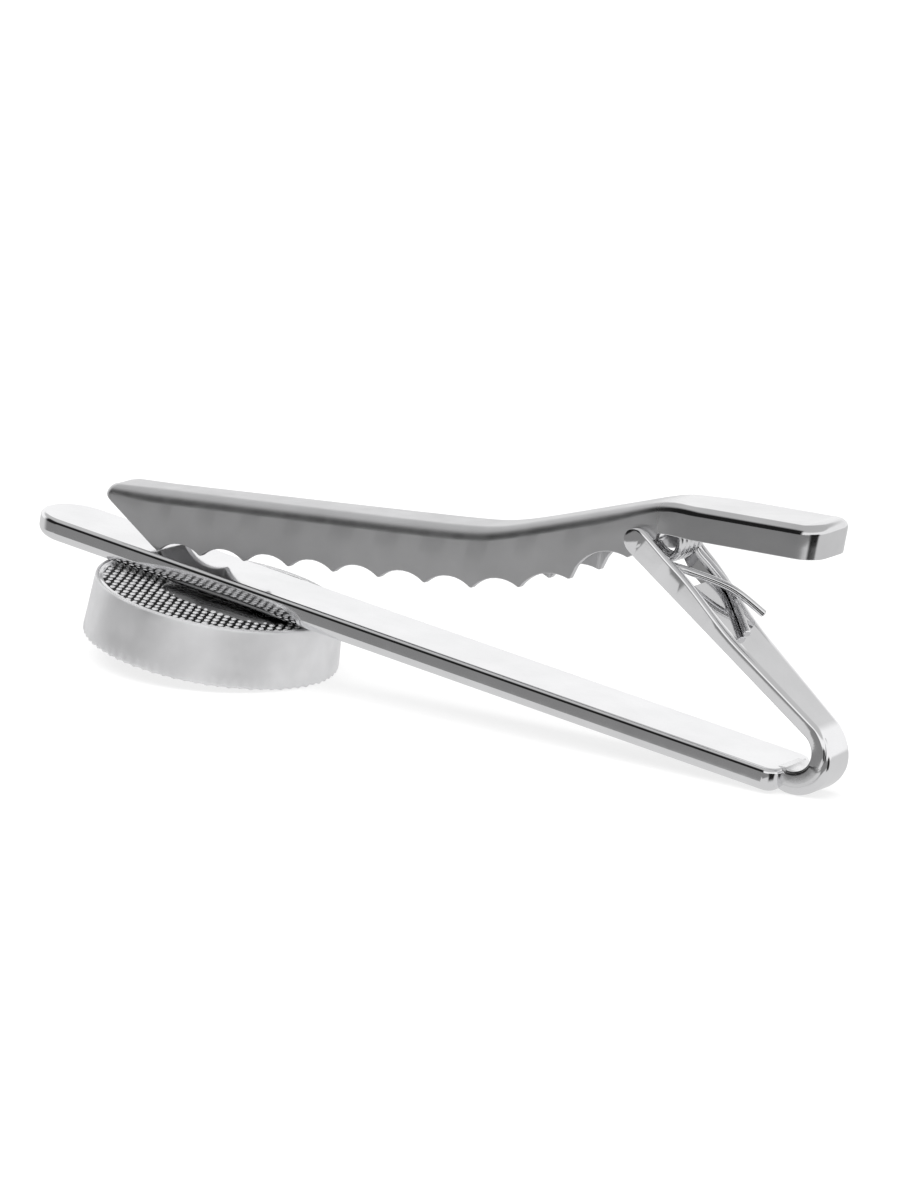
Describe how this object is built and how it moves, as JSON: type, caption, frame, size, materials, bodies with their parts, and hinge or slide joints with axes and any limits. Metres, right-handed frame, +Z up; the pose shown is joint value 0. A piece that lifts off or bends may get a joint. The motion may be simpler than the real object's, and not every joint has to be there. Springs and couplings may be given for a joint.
{
  "type": "spring tie clip with round medallion",
  "caption": "Alligator style tie clip: a flat bar with a round medallion, and a serrated spring jaw hinged on a bent leg, lying face down.",
  "frame": {"origin": "centre of the footprint, on the surface that the clip lies on", "axes": "+X along the bar from its round tip towards the bend, +Y across the bar, +Z up from the table the clip lies face down on"},
  "size_m": [0.0584, 0.0164, 0.0166],
  "materials": {
    "polished_plate": "bright polished rhodium plate",
    "satin_plate": "satin plate",
    "beaded_plate": "fine beaded texture, polished tops and dark hollows",
    "spring_steel": "plated music wire",
    "solder": "smooth bright solder"
  },
  "bodies": {
    "frame": {"front_bar": "polished_plate", "hinge_leg": "polished_plate", "foot_braze": "solder", "hinge_pin": "spring_steel", "torsion_spring": "spring_steel", "disc_solder": "solder", "medallion_back": "beaded_plate", "medallion_ring": "satin_plate", "medallion_face": "polished_plate"},
    "jaw": {"clip_jaw": "polished_plate"}
  },
  "joints": [
    {"name": "jaw_hinge", "type": "hinge", "parent": "frame", "child": "jaw", "pos_m": [0.01557, 0, 0.01378], "axis": [0, 1, 0], "range_deg": [0, 22], "stiffness_Nm_per_rad": 0.12, "springref_deg": -28.65, "deforming": ["torsion_spring"]}
  ]
}
